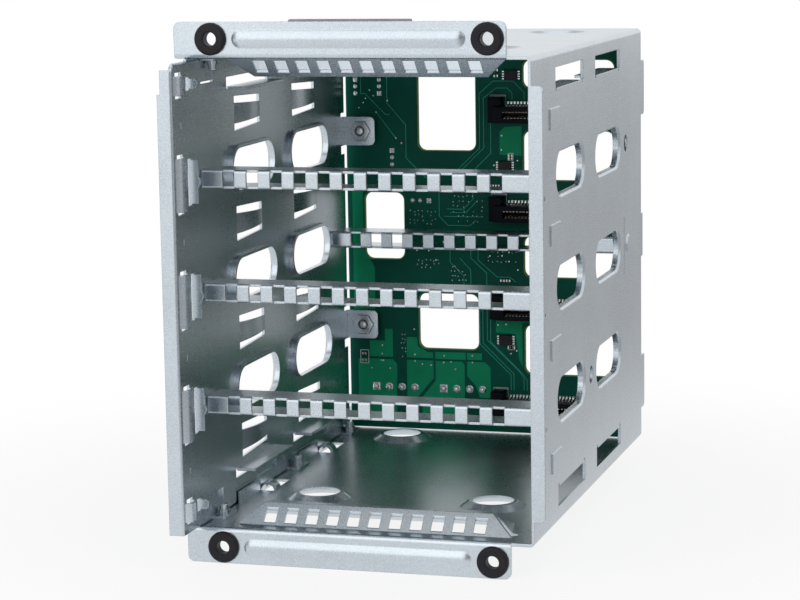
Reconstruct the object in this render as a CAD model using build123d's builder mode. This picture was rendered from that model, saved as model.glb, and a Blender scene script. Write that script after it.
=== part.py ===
"""Drive cage for four stacked 3.5 inch drives, open at the front, with a backplane.

One folded sheet makes the top, the right side and the floor.  A second sheet closes
the left side.  Ladder-shaped crossbars keep the bays apart, and the backplane stands
across the back with one connector for each drive.

Frame: millimetres, +Z up, the open front faces -Y.  The origin is under the middle of
the cage, at the height of its lowest edge.
"""
import os
from math import atan2, degrees

from build123d import *

# Bays and shell
bay_count = 4
bay_pitch = 36.9           # one drive in its carrier
end_margin = 2.9           # from the outer bays to the outside of the shell
inner_width = 110.0        # 101.6 mm wide drive plus its carrier
shell_depth = 175.0
sheet = 1.0                # zinc-coated steel
bend_radius = 1.6          # outside of a bend
rear_tab_reach = 6.0
side_flange = 9.0          # at the left edges of the floor and the top

# Front flanges of the top and the floor
flange_reach = 10.8        # beyond the outer face of the shell
flange_end = 5.9           # beyond the right-hand grommet's middle
flange_corner = 2.2
lip_reach = 4.0            # vertical lips beside the side panels
bead_end = 7.0             # short of the grommets' middles
bead_width = 5.8
bead_rise = 0.9
grommet_spacing = 90.0
grommet_centre = -2.6
grommet_inset = 5.4        # from the flange's free edge
grommet_radius = 5.15
grommet_back = 4.6         # behind the flange
grommet_bore = 2.15
grommet_neck = 3.65
grommet_lip = 1.5
grommet_gap = 0.1          # round the neck

# Perforated scoops just behind the flanges
scoop_centre = 0.9
scoop_foot = 92.0
scoop_crest = 77.0
scoop_start = 6.3          # behind the front face
scoop_run = 6.2
scoop_land = 3.0
scoop_fall = 10.5
scoop_rise = 6.2
scoop_holes = 11
scoop_pitch = 7.04
scoop_hole = 4.0
scoop_hole_run = 4.0       # seen from above
scoop_hole_start = 0.8     # behind the ramp's foot
crease_slot_length = 9.0
crease_slot_width = 3.0
crease_slot_inset = 3.0    # from the foot's right end
crease_slot_turn = -30.0
fold_depth = 1.8           # front strip of the floor that carries the flange

# Round dimpled holes in the floor and the top
dish_spacing_x = 60.8
dish_spacing_y = 100.5
dish_first = 48.4          # behind the front face
dish_foot = 11.0
dish_crest = 8.2
dish_rise = 2.0
dish_hole = 7.0

# Openings of both side panels
slot_length = 42.0
slot_height = 14.0
slot_columns = (55.0, 115.2)
rim_height = 1.7
rim_wall = 1.0
rim_lead = 0.7             # bevel of the mouth
shelf_length = 41.5
shelf_height = 6.6
shelf_columns = (54.2, 114.8)
shelf_level = 12.0         # from the outside of the shell to the shelf
shelf_reach = 6.5
shelf_relief = 1.2

# Small features of the right side
lip_margin_bottom = 8.0
lip_margin_top = 9.0
lip_right = 3.5            # reach of the lip
pad_length = 13.7
pad_height = 6.6
pad_rise = 0.4
pad_place = 31.5
dimple_place = 150.0
dimple_radius = 3.5
dimple_rise = 0.5
pilot_radius = 0.8
pilot_place = 17.0
pilot_drop = 5.8
round_hole = 3.15
round_hole_places = ((146.2, 0), (85.3, 2))
rear_tab_height = 20.0
rear_tab_places = (54.9, -55.6)
short_tab_height = 16.0
short_tab_reach = 3.0

# Left side panel
panel_lead = 16.0          # it stands ahead of the front flanges
panel_length = 177.2
panel_gap = 0.5            # to the floor and to the top
panel_corner = 3.0
narrow_lip = 1.0           # the lip is this much narrower at its top
narrow_length = 9.6
spring_columns = (40.5, 100.4)
spring_length = 23.0
spring_root = 3.5
spring_tip = 2.5
spring_slot = 2.3
spring_bow = 1.6
spring_lift = 1.2          # of the free tip
spring_sheet = 0.7
keeper_height = 17.0
keeper_small = 6.2
keeper_small_level = 8.6
keeper_front = 14.4        # ahead of the front face
keeper_arch = 8.0
keeper_rise = 2.3
keeper_slot = 3.6
keeper_tab = 2.2
keeper_bulge = 2.9         # middle of the bent tab
foot_fronts = (15.3, 91.6)
foot_rear = 6.8            # ahead of the panel's rear edge
foot_length = 11.4
foot_width = 4.6
foot_window = 4.7
foot_window_level = 7.2    # from the outside of the shell
rivet_radius = 1.6
rivet_height = 3.4
rivet_gap = 0.1
screw_tab = 10.8
screw_tab_corner = 2.0
screw_place = 6.2          # from the panel's inner face
screw_tab_reach = 12.0     # from the panel's inner face
screw_tab_rise = 2.1       # above the crossbar's level
screw_tab_levels = (0, 2)
notch_depth = 4.0          # beside the screw tabs
notch_above = 1.6
notch_below = 3.2
mark_place = 8.9           # small pierced marks ahead of the front face
mark_length = 0.9
mark_height = 1.8

# Floor lugs and bridges along the left side
lug_places = (43.6, 107.3)
lug_length = 19.5
lug_height = 4.0
lug_gap = 0.4
bridge_places = (54.0, 117.8)
bridge_window = 18.0       # opening that the strap crosses
bridge_inset = 1.2         # from the left panel to the opening
bridge_start = 1.0         # from the opening's front to the strap
bridge_length = 4.5
bridge_width = 4.6
bridge_rise = 1.9          # under the strap, above the floor

# Crossbars
bar_setback = 7.3          # behind the front face
bar_height = 6.1
bar_depth = 12.0
bar_sheet = 0.8
bar_gap = 0.4              # web to side panel
bar_bend = 1.0
bar_pitch = 8.03
bar_window = 4.0
bar_windows = 12
bar_window_start = 7.0     # from the left end of the web
rear_bar_setback = 142.9
rear_bar_level = 1
head_height = 20.0
head_gap = 0.3

# Backplane
board_thickness = 1.6
board_gap = 0.5            # to the right side
board_overhang = 0.3       # behind the rear edge of the left panel
board_margin = 1.5         # to the outside of the floor and the top
board_corner = 3.0
screw_radius = 1.5
screw_head_radius = 2.8
screw_head_height = 2.0
screw_gap = 0.1
nut_across = 7.0
nut_proud = 0.4
nut_shank = 2.6
nut_standoff = 2.8         # from the screw tabs to the board
air_openings = (           # left, right, bottom, top, above the outside of the floor
    (-27.0, -4.7, 108.4, 143.0),
    (-48.4, -33.0, 66.9, 92.2),
    (-27.6, -4.3, 32.8, 54.0),
    (13.6, 48.0, 131.9, 142.3),
    (13.6, 48.0, 97.7, 116.0),
    (13.6, 48.0, 61.1, 76.6),
    (13.6, 48.0, 24.2, 42.9),
)

# Drive connectors
connector_left = 1.7
connector_width = 42.7
connector_drop = 5.6       # contact row below the middle of the bay
connector_body = 6.0
connector_offset = 1.0
connector_reach = 8.5
connector_key = 4.5
connector_key_rise = 2.4
connector_mouth = 2.6      # height of the slot for the drive's tongue
connector_wall = 1.4

# Parts on the back and the face of the board
power_places = (-37.4, -10.7)
power_level = 17.5         # above the outside of the floor
power_pitch = 5.08
power_width = 22.0
power_height = 9.0
power_reach = 9.0
power_wall = 1.4
pin_radius = 0.9
pin_gap = 0.1
pin_show = 0.8
header_places = ((-51.0, 136.0), (-42.0, 136.0))
header_pitch = 2.54
chip_places = ((6.5, 102.8), (6.2, 37.0), (9.1, 136.7))
chip_width = 5.0
chip_height = 4.0
chip_thickness = 1.5

# Strip behind the top flange
strip_left = -22.0
strip_length = 40.0
strip_thickness = 1.2
strip_height = 6.0
strip_show = 0.7

# Places that follow
shell_height = bay_count * bay_pitch + 2 * end_margin
inner_face = inner_width / 2
outer_face = inner_face + sheet
y_face = (panel_lead - shell_depth - rear_tab_reach) / 2
z_floor = flange_reach
z_mid = z_floor + shell_height / 2
z_top = z_floor + shell_height
bar_levels = [z_mid + ((bay_count - 2) / 2 - n) * bay_pitch for n in range(bay_count - 1)]
bay_levels = [z_mid + ((bay_count - 1) / 2 - n) * bay_pitch for n in range(bay_count)]
y_bar = y_face + bar_setback
y_rear_bar = y_face + rear_bar_setback
panel_end = panel_length - panel_lead
y_panel_end = y_face + panel_end
y_board = y_panel_end + sheet + nut_standoff
foot_places = (*foot_fronts, panel_end - foot_rear)
grommet_level = shell_height / 2 + flange_reach - grommet_inset
bead_length = grommet_spacing - 2 * bead_end
flange_right = grommet_centre + grommet_spacing / 2 + flange_end
grommet_points = [
    (grommet_centre + side * grommet_spacing / 2, z_mid + end * grommet_level)
    for end in (1, -1)
    for side in (-1, 1)
]
foot_x = -inner_face + foot_width / 2
screw_x = -inner_face + screw_place
screw_points = [(screw_x, bar_levels[n] + screw_tab_rise) for n in screw_tab_levels]


def facing(y):
    """Plane across the cage at depth y; sketches on it read X and Z."""
    return Plane.XZ.offset(-y)


def edges_near(part, x=None, y=None, z=None):
    """Edges of a part whose middle lies at the given coordinates."""
    def here(edge):
        middle = edge.center()
        wanted = ((x, middle.X), (y, middle.Y), (z, middle.Z))
        return all(place is None or abs(place - at) < 0.02 for place, at in wanted)

    return part.edges().filter_by(here)


def rimmed_slots(side):
    """Obround holes of a side panel, their rims turned into the bays."""
    places = [(y_face + y, z) for y in slot_columns for z in bar_levels]
    with BuildSketch(Plane.YZ.offset(side * inner_face)) as profile:
        with Locations(*places):
            SlotOverall(slot_length + 2 * rim_wall, slot_height + 2 * rim_wall)
    extrude(profile.sketch, amount=-side * rim_height)
    with BuildSketch(Plane.YZ.offset(side * outer_face)) as profile:
        with Locations(*places):
            SlotOverall(slot_length, slot_height)
    extrude(profile.sketch, amount=-side * (sheet + rim_height), mode=Mode.SUBTRACT)
    with BuildSketch(Plane.YZ.offset(side * outer_face)) as mouth:
        with Locations(*places):
            SlotOverall(slot_length + 2 * rim_lead, slot_height + 2 * rim_lead)
    extrude(mouth.sketch, amount=-side * rim_lead, taper=45, mode=Mode.SUBTRACT)


def shelf_tabs(side):
    """Windows near the floor and the top, each with its tab bent in as a shelf."""
    for end in (1, -1):
        level = z_mid + end * (shell_height / 2 - shelf_level)
        for column in shelf_columns:
            with BuildSketch(Plane.YZ.offset(side * outer_face)) as profile:
                with Locations((y_face + column, level - end * sheet / 2)):
                    Rectangle(shelf_length - 2 * shelf_relief, sheet)
            extrude(profile.sketch, amount=-side * (sheet + shelf_reach))
            with BuildSketch(Plane.YZ.offset(side * outer_face)) as profile:
                with Locations((y_face + column, level + end * shelf_height / 2)):
                    Rectangle(shelf_length, shelf_height)
                with Locations(*[
                    (y_face + column + way * (shelf_length / 2 - shelf_relief), level)
                    for way in (-1, 1)
                ]):
                    Circle(shelf_relief)
            extrude(profile.sketch, amount=-side * sheet, mode=Mode.SUBTRACT)


def bead_cap(level, depth, y_cut):
    """Round bead ahead of the plane y_cut, its surface a given depth inside the metal."""
    ball = (bead_width**2 / 4 + bead_rise**2) / (2 * bead_rise)
    y_axis = y_face - bead_rise + ball
    half = bead_length / 2 - bead_width / 2
    with BuildPart() as bead:
        with Locations((grommet_centre, y_axis, level)):
            Cylinder(ball - depth, 2 * half, rotation=(0, 90, 0))
        with Locations((grommet_centre - half, y_axis, level), (grommet_centre + half, y_axis, level)):
            Sphere(ball - depth)
        with Locations((grommet_centre, y_cut - ball / 2, level)):
            Box(bead_length + 2 * ball, ball, 3 * ball, mode=Mode.INTERSECT)
    return bead.part


def flange_and_bead(end):
    """Front flange bent off the top (end 1) or the floor (end -1), with its bead."""
    left = -outer_face - lip_reach
    width = flange_right - left
    outside = z_mid + end * shell_height / 2
    foot = outside - end * sheet
    tip = outside + end * flange_reach
    with BuildSketch(facing(y_face)) as gap:
        with Locations((left + width / 2, (outside + foot) / 2)):
            Rectangle(width, sheet)
    extrude(gap.sketch, amount=-fold_depth, mode=Mode.SUBTRACT)
    with BuildSketch(Plane.YZ.offset(left)) as fold:
        with Locations((y_face + sheet / 2, (foot + tip) / 2)):
            Rectangle(sheet, abs(tip - foot))
        with Locations((y_face + fold_depth / 2, (outside + foot) / 2)):
            Rectangle(fold_depth, sheet)
        fillet(
            fold.vertices().filter_by(lambda v: abs(v.X - y_face) + abs(v.Y - foot) < 0.01),
            bend_radius,
        )
        fillet(
            fold.vertices().filter_by(
                lambda v: abs(v.X - y_face - sheet) + abs(v.Y - outside) < 0.01
            ),
            bend_radius - sheet,
        )
    extrude(fold.sketch, amount=width)
    with BuildSketch(facing(y_face + sheet)) as clear:
        with Locations((left + (lip_reach - sheet) / 2, outside)):
            Rectangle(lip_reach - sheet, 3 * sheet)
    extrude(clear.sketch, amount=-fold_depth, mode=Mode.SUBTRACT)
    with BuildSketch(facing(y_face - sheet)) as holes:
        with Locations(*[point for point in grommet_points if (point[1] - z_mid) * end > 0]):
            Circle(grommet_neck + grommet_gap)
    extrude(holes.sketch, amount=-3 * sheet, mode=Mode.SUBTRACT)
    add(bead_cap(z_mid + end * grommet_level, 0, y_face))
    add(bead_cap(z_mid + end * grommet_level, sheet, y_face + sheet), mode=Mode.SUBTRACT)


def scoop_outline(width, y_near, y_far, taper):
    """Plan of the scoop at one height, wider towards the flange."""
    with BuildLine() as outline:
        Polyline(
            (scoop_centre - width / 2, y_near),
            (scoop_centre + width / 2, y_near),
            (scoop_centre + width / 2 - taper, y_far),
            (scoop_centre - width / 2 + taper, y_far),
            close=True,
        )
    make_face(outline.edges())


def scoop(end):
    """Ramp pressed into the bays behind a flange, with a row of square holes."""
    near = y_face + scoop_start
    crest = near + scoop_run
    far = crest + scoop_land + scoop_fall
    for depth, mode in ((sheet, Mode.ADD), (0, Mode.SUBTRACT)):
        foot = z_mid + end * (shell_height / 2 - depth)
        with BuildSketch(Plane.XY.offset(foot)) as base:
            scoop_outline(scoop_foot, near, far, 4)
        with BuildSketch(Plane.XY.offset(foot - end * scoop_rise)) as crown:
            scoop_outline(scoop_crest, crest, crest + scoop_land, 1)
        loft([base.sketch.face(), crown.sketch.face()], ruled=True, mode=mode)
    hole_middle = near + scoop_hole_start + scoop_hole_run / 2
    with BuildSketch(Plane.XY.offset(z_mid + end * (shell_height / 2 + sheet))) as profile:
        with Locations((scoop_centre, hole_middle)):
            with GridLocations(scoop_pitch, 1, scoop_holes, 1):
                Rectangle(scoop_hole, scoop_hole_run)
        if end < 0:
            with Locations((scoop_centre + scoop_foot / 2 - crease_slot_inset, crest)):
                SlotOverall(crease_slot_length, crease_slot_width, rotation=crease_slot_turn)
    extrude(profile.sketch, amount=-end * (scoop_rise + 2 * sheet + 1), mode=Mode.SUBTRACT)


def dishes(end):
    """Round holes with conical rims pressed into the bays."""
    level = z_mid + end * (shell_height / 2 - sheet)
    middle = y_face + dish_first + dish_spacing_y / 2
    slope = degrees(atan2(dish_foot - dish_crest, dish_rise))
    for lift, mode in ((0, Mode.ADD), (sheet, Mode.SUBTRACT)):
        with BuildSketch(Plane.XY.offset(level + end * lift)) as profile:
            with Locations((0, middle)):
                with GridLocations(dish_spacing_x, dish_spacing_y, 2, 2):
                    Circle(dish_foot)
        extrude(
            profile.sketch,
            amount=-end * dish_rise,
            taper=slope,
            mode=mode,
        )
    with BuildSketch(Plane.XY.offset(level + end * 2 * sheet)) as profile:
        with Locations((0, middle)):
            with GridLocations(dish_spacing_x, dish_spacing_y, 2, 2):
                Circle(dish_hole)
    extrude(profile.sketch, amount=-end * (dish_rise + 3 * sheet), mode=Mode.SUBTRACT)


def right_side_details():
    """Lip, location pads, holes and rear tabs of the right side."""
    lip_low = z_floor + lip_margin_bottom
    lip_high = z_top - lip_margin_top
    with BuildSketch(facing(y_face)) as lip:
        with Locations((outer_face + lip_right / 2, (lip_low + lip_high) / 2)):
            Rectangle(lip_right, lip_high - lip_low)
        fillet(lip.vertices().group_by(Axis.X)[-1], bend_radius)
    extrude(lip.sketch, amount=-sheet)
    pads = [(y_face + pad_place, z) for z in bay_levels]
    with BuildSketch(Plane.YZ.offset(outer_face)) as profile:
        with Locations(*pads):
            Rectangle(pad_length, pad_height)
    extrude(profile.sketch, amount=pad_rise)
    with BuildSketch(Plane.YZ.offset(inner_face)) as profile:
        with Locations(*pads):
            Rectangle(pad_length, pad_height)
    extrude(profile.sketch, amount=pad_rise, mode=Mode.SUBTRACT)
    with BuildSketch(Plane.YZ.offset(outer_face)) as profile:
        with Locations(*[(y_face + pilot_place, z - pilot_drop) for z in bar_levels]):
            Circle(pilot_radius)
        with Locations(*[(y_face + y, bar_levels[n]) for y, n in round_hole_places]):
            Circle(round_hole)
        with Locations((y_rear_bar + bar_sheet / 2, bar_levels[rear_bar_level])):
            Rectangle(bar_sheet + 2 * head_gap, head_height + 2 * head_gap)
    extrude(profile.sketch, amount=-sheet, mode=Mode.SUBTRACT)
    for lift, mode in ((0, Mode.ADD), (sheet, Mode.SUBTRACT)):
        with BuildSketch(Plane.YZ.offset(outer_face - lift)) as dimple:
            with Locations((y_face + dimple_place, bar_levels[rear_bar_level])):
                Circle(dimple_radius)
        extrude(dimple.sketch, amount=dimple_rise, taper=45, mode=mode)
    y_end = y_face + shell_depth
    with BuildSketch(Plane.YZ.offset(outer_face)) as tabs:
        with Locations(*[(y_end + rear_tab_reach / 2, z_mid + z) for z in rear_tab_places]):
            Rectangle(rear_tab_reach, rear_tab_height)
        with Locations((y_end + short_tab_reach / 2, z_mid)):
            Rectangle(short_tab_reach, short_tab_height)
        fillet(tabs.vertices().group_by(Axis.X)[-1], bend_radius)
    extrude(tabs.sketch, amount=-sheet)


def floor_details():
    """Lugs and bridges along the left edge of the floor, and the rivet holes."""
    x_lug = -inner_face + lug_gap + sheet / 2
    with BuildSketch(Plane.XY.offset(z_floor + sheet)) as profile:
        with Locations(*[(x_lug, y_face + y) for y in lug_places]):
            Rectangle(sheet, lug_length)
    extrude(profile.sketch, amount=lug_height)
    x_bridge = -inner_face + bridge_inset + bridge_width / 2
    with BuildSketch(Plane.XY.offset(z_floor)) as opening:
        with Locations(*[(x_bridge, y_face + y + bridge_window / 2) for y in bridge_places]):
            Rectangle(bridge_width, bridge_window)
    extrude(opening.sketch, amount=sheet, mode=Mode.SUBTRACT)
    for place in bridge_places:
        with BuildSketch(facing(y_face + place + bridge_start)) as strap:
            for spread, mode in ((sheet, Mode.ADD), (0, Mode.SUBTRACT)):
                half = bridge_width / 2 + spread
                with BuildLine() as arch:
                    ThreePointArc(
                        (x_bridge - half, z_floor),
                        (x_bridge, z_floor + sheet + bridge_rise + spread),
                        (x_bridge + half, z_floor),
                    )
                    Line((x_bridge + half, z_floor), (x_bridge - half, z_floor))
                make_face(arch.edges(), mode=mode)
        extrude(strap.sketch, amount=-bridge_length)
    with BuildSketch(Plane.XY.offset(z_floor - sheet)) as profile:
        with Locations(*[(foot_x, y_face + y) for y in foot_places]):
            Circle(rivet_radius + rivet_gap)
    extrude(profile.sketch, amount=3 * sheet, mode=Mode.SUBTRACT)
    with BuildSketch(Plane.XY.offset(z_top + sheet)) as profile:
        with Locations(*[(foot_x, y_face + y) for y in foot_places]):
            Circle(rivet_radius + rivet_gap)
    extrude(profile.sketch, amount=-3 * sheet, mode=Mode.SUBTRACT)


def make_main_shell():
    """Top, right side and floor folded from one sheet, with their front flanges."""
    with BuildPart() as shell:
        with BuildSketch(facing(y_face)) as section:
            with Locations((-sheet / 2, z_mid)):
                Rectangle(2 * outer_face + sheet, shell_height)
            fillet(section.vertices(), bend_radius)
            with Locations((-sheet / 2, z_mid)):
                Rectangle(2 * outer_face - sheet, shell_height - 2 * sheet, mode=Mode.SUBTRACT)
            inside = section.vertices().filter_by(lambda v: abs(v.X - inner_face) < 0.01)
            fillet(inside, bend_radius - sheet)
            with Locations((-outer_face, z_mid)):
                Rectangle(4 * sheet, shell_height - 2 * side_flange, mode=Mode.SUBTRACT)
        extrude(amount=-shell_depth)
        for end in (1, -1):
            flange_and_bead(end)
            tip = z_mid + end * (shell_height / 2 + flange_reach)
            fillet(edges_near(shell, y=y_face + sheet / 2, z=tip), flange_corner)
            scoop(end)
            dishes(end)
        rimmed_slots(1)
        shelf_tabs(1)
        right_side_details()
        floor_details()
    return shell


def leaf_spring():
    """One leaf lanced from the left panel: bowed into the bay, narrower at its tip."""
    with BuildPart() as spring:
        with BuildSketch(Plane.XY.offset(-spring_root)):
            with BuildLine():
                ThreePointArc(
                    (-sheet, 0),
                    (spring_bow - sheet, spring_length * 0.6),
                    (spring_lift - sheet, spring_length),
                )
                Line(
                    (spring_lift - sheet, spring_length),
                    (spring_lift - sheet + spring_sheet, spring_length),
                )
                ThreePointArc(
                    (spring_lift - sheet + spring_sheet, spring_length),
                    (spring_bow - sheet + spring_sheet, spring_length * 0.6),
                    (-sheet + spring_sheet, 0),
                )
                Line((-sheet + spring_sheet, 0), (-sheet, 0))
            make_face()
        extrude(amount=2 * spring_root)
        with BuildSketch(Plane.YZ.offset(-2 * sheet)):
            with BuildLine():
                Polyline(
                    (0, -spring_root), (spring_length, -spring_tip),
                    (spring_length, spring_tip), (0, spring_root), close=True,
                )
            make_face()
        extrude(amount=2 * sheet + spring_bow + spring_sheet, mode=Mode.INTERSECT)
    return spring.part


def keeper(level, height):
    """Arched strap, slot and bent tab at the front edge of the left panel."""
    start = y_face - keeper_front
    arch_end = start + keeper_arch
    low = level - height / 2
    with BuildSketch(Plane.XY.offset(low)) as profile:
        with BuildLine():
            ThreePointArc(
                (-inner_face, start),
                (-inner_face + keeper_rise, (start + arch_end) / 2),
                (-inner_face, arch_end),
            )
            Line((-inner_face, arch_end), (-inner_face, start))
        make_face()
    extrude(profile.sketch, amount=height)
    with BuildSketch(Plane.XY.offset(low - 1)) as profile:
        with BuildLine():
            ThreePointArc(
                (-outer_face, start + sheet),
                (-inner_face + keeper_rise - sheet, (start + arch_end) / 2),
                (-outer_face, arch_end - sheet),
            )
            Line((-outer_face, arch_end - sheet), (-outer_face, start + sheet))
        make_face()
    extrude(profile.sketch, amount=height + 2, mode=Mode.SUBTRACT)
    slot_start = arch_end + 2 * sheet
    slot_end = slot_start + keeper_slot
    with BuildSketch(Plane.YZ.offset(-outer_face)) as profile:
        with Locations(((slot_start + slot_end) / 2, level)):
            Rectangle(keeper_slot, height - 2 * sheet)
    extrude(profile.sketch, amount=sheet, mode=Mode.SUBTRACT)
    with BuildSketch(facing(slot_end)) as profile:
        with Locations((-inner_face + keeper_tab / 2 - sheet / 2, level)):
            Rectangle(keeper_tab + sheet, height - 3 * sheet)
        with Locations((-inner_face + keeper_bulge - min(keeper_tab, height / 4), level)):
            Circle(min(keeper_tab, height / 4))
    extrude(profile.sketch, amount=-sheet)
    with BuildSketch(facing(slot_end - 1)) as profile:
        with Locations((-outer_face - 2, level)):
            Rectangle(4, height)
    extrude(profile.sketch, amount=-sheet - 2, mode=Mode.SUBTRACT)


def riveted_feet():
    """Tabs bent in at the floor and the top, each under a window, with a rivet hole."""
    for end in (1, -1):
        seat = z_mid + end * (shell_height / 2 - sheet)
        edge = seat - end * panel_gap
        for place in foot_places:
            with BuildSketch(Plane.YZ.offset(-outer_face)) as profile:
                with Locations((y_face + place, (seat + edge) / 2)):
                    Rectangle(foot_length, panel_gap)
            extrude(profile.sketch, amount=sheet)
            with BuildSketch(Plane.XY.offset(seat)) as profile:
                with Locations((foot_x, y_face + place)):
                    Rectangle(foot_width, foot_length)
                    Circle(rivet_radius + rivet_gap, mode=Mode.SUBTRACT)
            extrude(profile.sketch, amount=-end * sheet)
            window = z_mid + end * (shell_height / 2 - foot_window_level)
            with BuildSketch(Plane.YZ.offset(-outer_face)) as profile:
                with Locations((y_face + place, window)):
                    Rectangle(foot_length, foot_window)
            extrude(profile.sketch, amount=sheet, mode=Mode.SUBTRACT)


def notches_and_marks():
    """Relief notches beside the screw tabs, and pierced marks at the bays' levels."""
    with BuildSketch(Plane.YZ.offset(-outer_face)) as profile:
        for _, z in screw_points:
            with Locations((y_panel_end - notch_depth / 2, z + screw_tab / 2 + notch_above / 2)):
                Rectangle(notch_depth, notch_above)
            with Locations((y_panel_end - notch_depth / 2, z - screw_tab / 2 - notch_below / 2)):
                Rectangle(notch_depth, notch_below)
        with Locations(*[(y_face - mark_place, z) for z in bay_levels]):
            Rectangle(mark_length, mark_height)
    extrude(profile.sketch, amount=sheet, mode=Mode.SUBTRACT)


def make_left_side_panel():
    """Left side: lip, keepers, leaf springs, rimmed holes, shelves and screw tabs."""
    low = z_floor + sheet + panel_gap
    high = z_top - sheet - panel_gap
    y_front = y_face - panel_lead
    spring = leaf_spring()
    with BuildPart() as panel:
        with BuildSketch(Plane.YZ.offset(-outer_face)) as outline:
            with Locations((y_front + panel_length / 2, (low + high) / 2)):
                Rectangle(panel_length, high - low)
            fillet(outline.vertices().sort_by(Axis.X)[:2].sort_by(Axis.Y)[-1], panel_corner)
        extrude(amount=sheet)
        with BuildSketch(facing(y_front)):
            with Locations((-outer_face - lip_reach / 2, (low + high - narrow_length) / 2)):
                Rectangle(lip_reach, high - low - narrow_length)
            with Locations((-outer_face - (lip_reach - narrow_lip) / 2, (low + high) / 2 - 1)):
                Rectangle(lip_reach - narrow_lip, high - low - 2)
        extrude(amount=-sheet)
        fillet(
            edges_near(panel, x=-inner_face, y=y_front).filter_by(Axis.Z),
            bend_radius * 0.6,
        )
        rimmed_slots(-1)
        shelf_tabs(-1)
        places = [(y_face + y, z) for y in spring_columns for z in bay_levels]
        with BuildSketch(Plane.YZ.offset(-outer_face)):
            for y, z in places:
                with BuildLine():
                    Polyline(
                        (y, z - spring_root - spring_slot),
                        (y + spring_length + spring_slot, z - spring_tip - spring_slot),
                        (y + spring_length + spring_slot, z + spring_tip + spring_slot),
                        (y, z + spring_root + spring_slot),
                        close=True,
                    )
                make_face()
        extrude(amount=sheet, mode=Mode.SUBTRACT)
        with Locations(*[(-inner_face, y, z) for y, z in places]):
            add(spring)
        for level in bar_levels:
            keeper(level, keeper_height)
        for end in (1, -1):
            keeper(z_mid + end * (shell_height / 2 - keeper_small_level), keeper_small)
        riveted_feet()
        notches_and_marks()
        reach = screw_tab_reach + sheet
        with BuildSketch(facing(y_panel_end)) as tabs:
            for _, z in screw_points:
                with Locations((-outer_face + reach / 2, z)):
                    Rectangle(reach, screw_tab)
            ends = tabs.vertices().filter_by(lambda v: v.X > screw_x)
            fillet(ends, screw_tab_corner)
            with Locations(*screw_points):
                RegularPolygon(nut_across / 2 + screw_gap, 6, major_radius=False, mode=Mode.SUBTRACT)
        extrude(amount=-sheet)
    return panel


def crossbar(y_web, level, head):
    """Ladder-shaped channel, its windows cut round both bends of the web."""
    length = inner_width - 2 * bar_gap
    left = -length / 2
    with BuildPart() as bar:
        with BuildSketch(Plane.YZ.offset(left)) as section:
            with Locations((y_web + bar_depth / 2, level)):
                Rectangle(bar_depth, bar_height)
            fillet(section.vertices().group_by(Axis.X)[0], bar_bend)
            with Locations((y_web + bar_depth / 2 + bar_sheet, level)):
                Rectangle(bar_depth, bar_height - 2 * bar_sheet, mode=Mode.SUBTRACT)
        extrude(amount=length)
        first = left + bar_window_start + bar_window / 2
        with BuildSketch(facing(y_web)):
            with Locations(*[(first + n * bar_pitch, level) for n in range(bar_windows)]):
                Rectangle(bar_window, bar_height)
        extrude(amount=-bar_bend - bar_sheet, mode=Mode.SUBTRACT)
        with BuildSketch(Plane.YZ.offset(-inner_face)):
            with Locations(*[
                (y_web + bar_bend + bar_depth / 4, level + way * (bar_height - bar_sheet) / 2)
                for way in (-1, 1)
            ]):
                Rectangle(bar_depth / 2, bar_sheet)
        extrude(amount=inner_width if not head else inner_width / 2)
        if head:
            with BuildSketch(facing(y_web)):
                with Locations((outer_face - sheet, level)):
                    Rectangle(2 * sheet, head_height)
            extrude(amount=-bar_sheet)
    return bar


def make_backplane_board():
    """Backplane with its air openings and screw holes."""
    left = -inner_face - board_overhang
    right = inner_face - board_gap
    low = z_floor + board_margin
    high = z_top - board_margin
    with BuildPart() as board:
        with BuildSketch(facing(y_board)):
            with Locations(((left + right) / 2, (low + high) / 2)):
                Rectangle(right - left, high - low)
            for near, far, bottom, top in air_openings:
                with Locations(((near + far) / 2, z_floor + (bottom + top) / 2)):
                    RectangleRounded(far - near, top - bottom, board_corner, mode=Mode.SUBTRACT)
            with Locations(*screw_points):
                Circle(screw_radius + screw_gap, mode=Mode.SUBTRACT)
            for place in power_places:
                with Locations((place, z_floor + power_level)):
                    with GridLocations(power_pitch, 1, 4, 1):
                        Circle(pin_radius + pin_gap, mode=Mode.SUBTRACT)
        extrude(amount=-board_thickness)
    return board


def make_drive_connector(level):
    """Receptacle of one drive: housing, slot for the drive's tongue, and key block."""
    row = level - connector_drop
    low = row - connector_offset - connector_body
    left = connector_left + connector_key / 2
    right = connector_left + connector_width
    with BuildPart() as connector:
        with BuildSketch(facing(y_board)) as body:
            with Locations(((left + right) / 2, low + connector_body / 2)):
                Rectangle(right - left, connector_body)
            fillet(body.vertices().group_by(Axis.X)[-1], 0.6)
        extrude(amount=connector_reach)
        with BuildSketch(facing(y_board - connector_reach)):
            with Locations(((left + right) / 2 + connector_wall, low + connector_body / 2)):
                Rectangle(right - left - 3 * connector_wall, connector_mouth)
        extrude(amount=-connector_reach * 0.6, mode=Mode.SUBTRACT)
        key_high = row + connector_key_rise
        with BuildSketch(facing(y_board)):
            with Locations((connector_left + connector_key / 2, (low + key_high) / 2)):
                Rectangle(connector_key, key_high - low)
        extrude(amount=connector_reach * 0.8)
        chamfer(edges_near(connector, y=y_board - connector_reach * 0.8).filter_by(Axis.X), 0.4)
    return connector


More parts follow.
